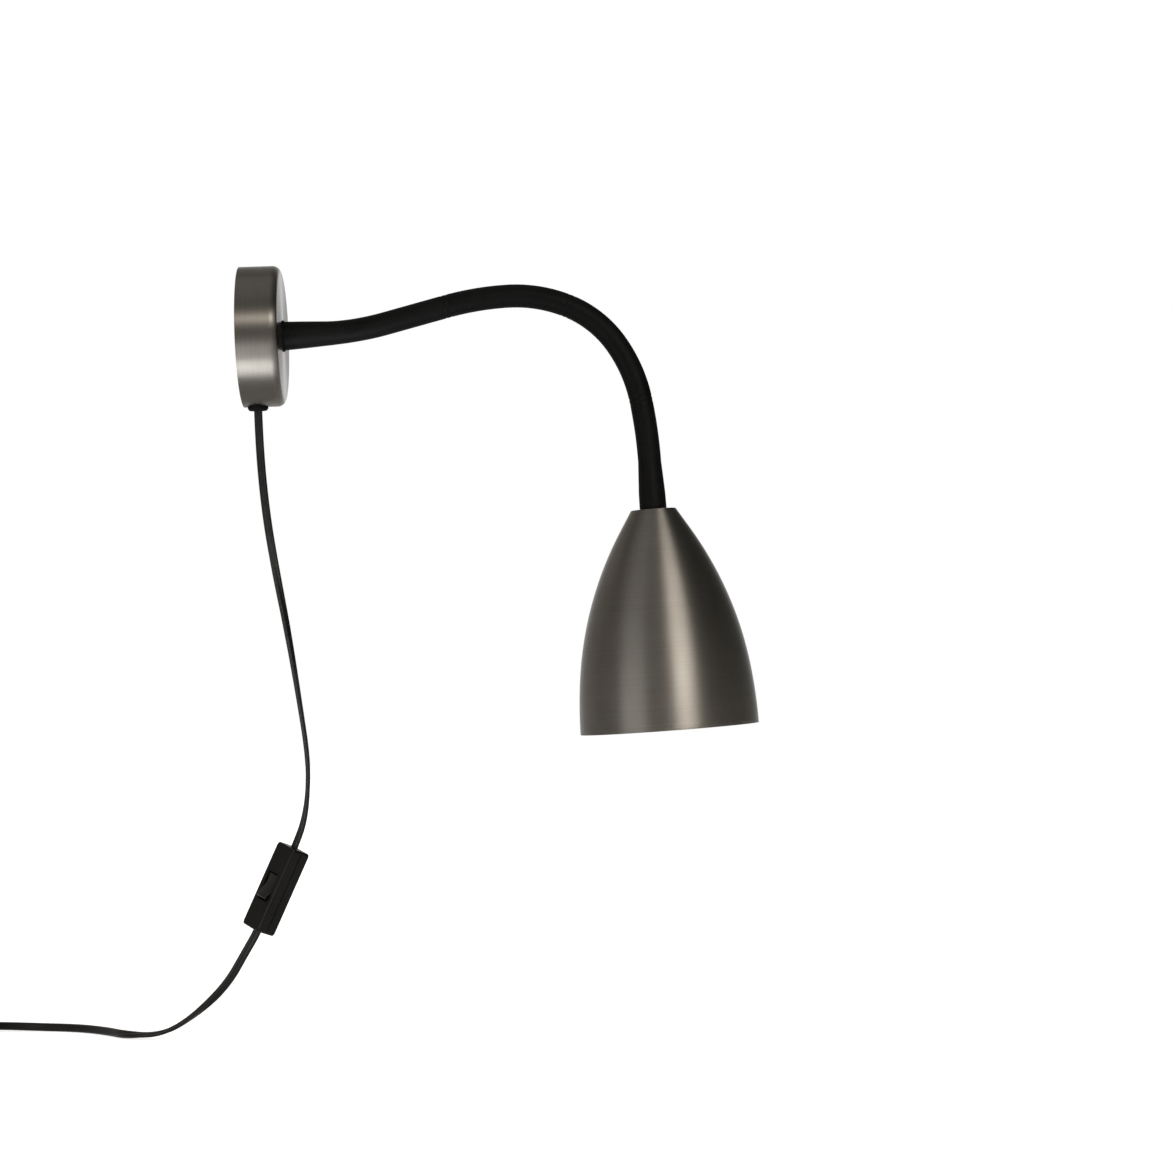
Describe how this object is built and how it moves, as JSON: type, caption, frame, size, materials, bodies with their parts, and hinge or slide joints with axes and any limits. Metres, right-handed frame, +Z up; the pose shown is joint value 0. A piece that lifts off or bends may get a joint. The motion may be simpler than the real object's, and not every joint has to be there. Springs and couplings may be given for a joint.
{
  "type": "gooseneck wall sconce",
  "caption": "Wall lamp: round canopy, bendable sleeved gooseneck arm, bell-shaped metal shade over a screw-base bulb, and a mains lead with an in-line rocker switch.",
  "frame": {"origin": "centre of the canopy's back face, on the wall", "axes": "+X out of the wall, +Z up, arm bends in the plane Y = 0 at rest"},
  "size_m": [0.6606, 0.1518, 0.5453],
  "materials": {
    "dark_steel": "satin",
    "zinc_steel": "satin",
    "sleeve_rubber": "matte",
    "cord_plastic": "satin",
    "switch_plastic": "satin",
    "tie_plastic": "matte",
    "holder_plastic": "satin",
    "terminal_plastic": "matte",
    "wire_plastic": "matte",
    "brass": "satin",
    "porcelain": "satin",
    "nickel": "polished",
    "opal_glass": "satin"
  },
  "bodies": {
    "wall_side": {"back_plate": "zinc_steel", "canopy_cup": "dark_steel", "rim_brackets": "zinc_steel", "plate_screws": "zinc_steel", "arm_collar": "dark_steel", "foot_ferrule": "zinc_steel", "foot_washer": "zinc_steel", "foot_nut": "zinc_steel", "foot_sleeve": "sleeve_rubber", "cord_bushing": "cord_plastic", "cord_clamp": "holder_plastic", "clamp_screws": "zinc_steel", "terminal_block": "terminal_plastic", "terminal_sleeves": "brass", "terminal_screws": "zinc_steel", "supply_lead": "cord_plastic", "arm_lead": "wire_plastic", "cord_upper": "cord_plastic", "switch_lid": "switch_plastic", "switch_base": "switch_plastic", "switch_screws": "zinc_steel", "switch_contacts": "brass", "cord_lower": "cord_plastic", "cord_coil": "cord_plastic", "coil_tie": "tie_plastic", "cord_tail": "cord_plastic", "plug_body": "switch_plastic", "plug_pins": "nickel"},
    "rocker": {"rocker": "switch_plastic"},
    "link_1": {"arm_core_1": "zinc_steel", "arm_sleeve_1": "sleeve_rubber"},
    "link_2": {"arm_core_2": "zinc_steel", "arm_sleeve_2": "sleeve_rubber"},
    "link_3": {"arm_core_3": "zinc_steel", "arm_sleeve_3": "sleeve_rubber"},
    "link_4": {"arm_core_4": "zinc_steel", "arm_sleeve_4": "sleeve_rubber"},
    "link_5": {"arm_core_5": "zinc_steel", "arm_sleeve_5": "sleeve_rubber"},
    "link_6": {"arm_core_6": "zinc_steel", "arm_sleeve_6": "sleeve_rubber"},
    "link_7": {"arm_core_7": "zinc_steel", "arm_sleeve_7": "sleeve_rubber"},
    "head": {"neck_sleeve": "sleeve_rubber", "head_ferrule": "zinc_steel", "shade": "dark_steel", "shade_washer": "zinc_steel", "head_nut": "zinc_steel", "holder_cap": "holder_plastic", "holder_body": "holder_plastic", "holder_insert": "porcelain", "screw_shell": "brass", "centre_contact": "brass", "holder_terminals": "brass", "holder_wires": "wire_plastic", "bulb_cap": "nickel", "bulb_globe": "opal_glass"}
  },
  "joints": [
    {"name": "bend_1_pitch", "type": "hinge", "parent": "wall_side", "child": "link_1", "pos_m": [0.05919, 0, 0.00089], "axis": [0, 1, 0], "range_deg": [-25, 12]},
    {"name": "bend_2_yaw", "type": "hinge", "parent": "link_1", "child": "link_2", "pos_m": [0.1027, 0, 0.00685], "axis": [-0.2402, 0, 0.9707], "range_deg": [-15, 15]},
    {"name": "bend_3_pitch", "type": "hinge", "parent": "link_2", "child": "link_3", "pos_m": [0.14542, 0, 0.01738], "axis": [0, 1, 0], "range_deg": [-20, 8]},
    {"name": "bend_4_yaw", "type": "hinge", "parent": "link_3", "child": "link_4", "pos_m": [0.18893, 0, 0.02334], "axis": [-0.0314, 0, 0.9995], "range_deg": [-15, 15]},
    {"name": "bend_5_pitch", "type": "hinge", "parent": "link_4", "child": "link_5", "pos_m": [0.23178, 0, 0.01509], "axis": [0, 1, 0], "range_deg": [-25, 8]},
    {"name": "bend_6_yaw", "type": "hinge", "parent": "link_5", "child": "link_6", "pos_m": [0.26506, 0, -0.01278], "axis": [0.832, 0, 0.5548], "range_deg": [-15, 15]},
    {"name": "bend_7_pitch", "type": "hinge", "parent": "link_6", "child": "link_7", "pos_m": [0.28136, 0, -0.05332], "axis": [0, 1, 0], "range_deg": [-25, 12]},
    {"name": "bend_8_yaw", "type": "hinge", "parent": "link_7", "child": "head", "pos_m": [0.28618, 0, -0.09702], "axis": [0.999, 0, 0.0436], "range_deg": [-15, 15]},
    {"name": "switch_rocker", "type": "hinge", "parent": "wall_side", "child": "rocker", "pos_m": [0.00887, -0.00336, -0.39004], "axis": [0.6372, -0.7071, -0.3066], "range_deg": [0, 22]}
  ]
}
